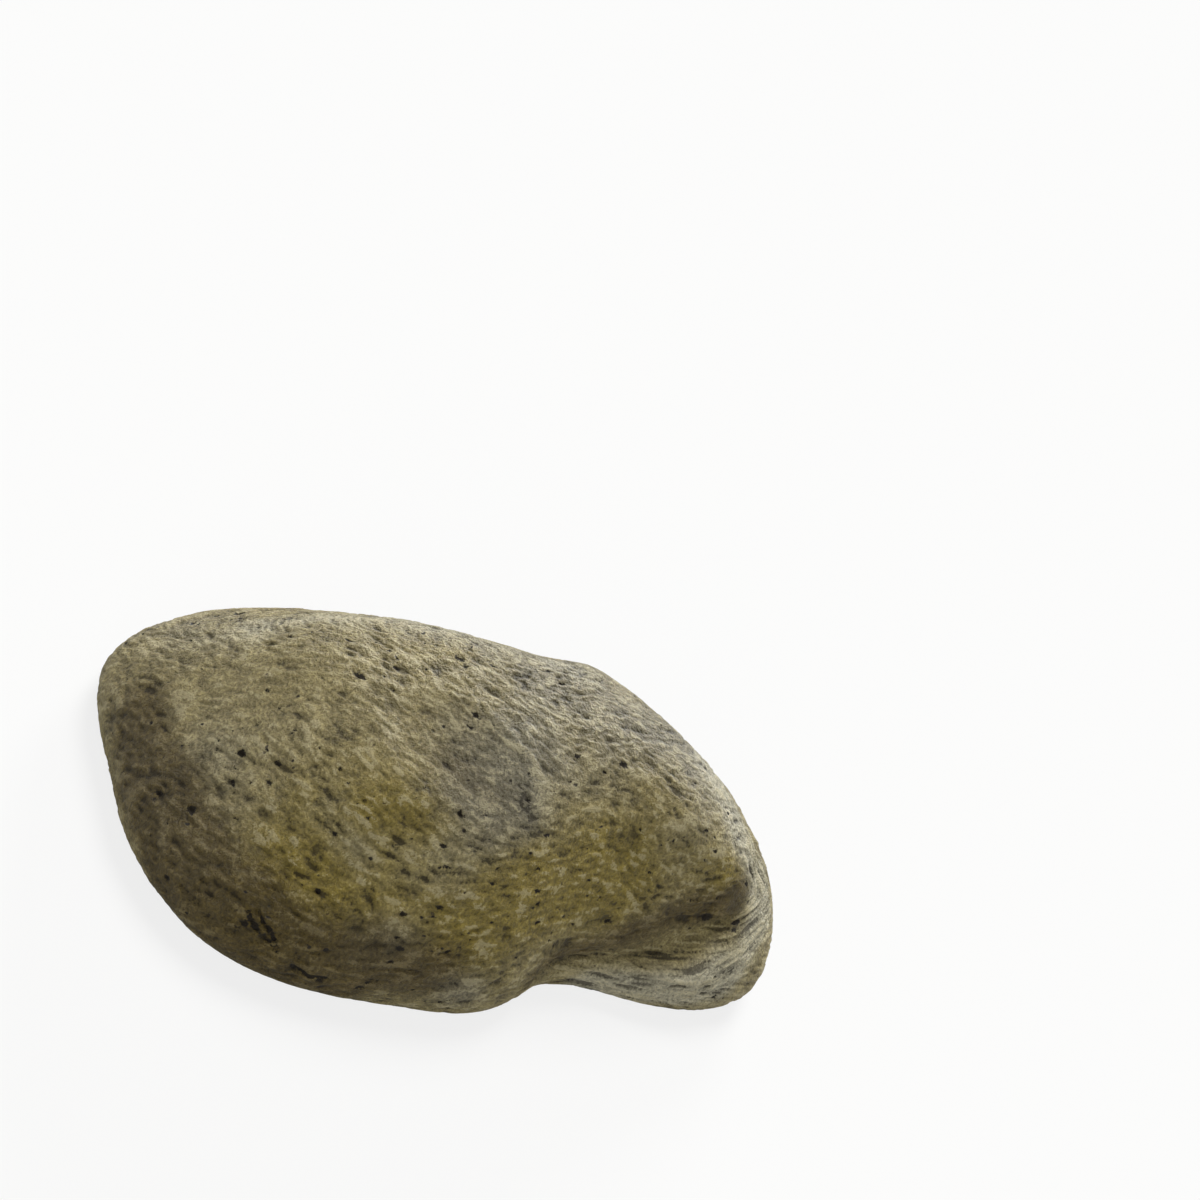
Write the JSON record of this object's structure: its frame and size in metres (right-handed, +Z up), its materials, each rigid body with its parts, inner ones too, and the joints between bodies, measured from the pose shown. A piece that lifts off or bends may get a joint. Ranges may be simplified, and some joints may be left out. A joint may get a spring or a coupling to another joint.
{
  "type": "hide-a-key rock",
  "caption": "Hollow-backed garden stone in cast resin that rests flat on the ground and hides a spare door key in a pocket underneath.",
  "frame": {"origin": "middle of the stone's footprint box, on the plane it rests on", "axes": "+X along the stone from the blunt nose to the cut end with the toe, +Y across it towards the hollow in the back, +Z up; the pocket opens towards -Z"},
  "size_m": [0.1382, 0.0862, 0.0432],
  "materials": {
    "stone_skin": "stone-textured coat, matte, olive, khaki and grey",
    "resin_core": "poured resin, glossy, tan to brown",
    "pocket_glaze": "brushed-on resin coat, very glossy, dark amber"
  },
  "bodies": {
    "root": {"stone_skin": "stone_skin", "resin_core": "resin_core", "pocket_glaze": "pocket_glaze"}
  },
  "joints": []
}
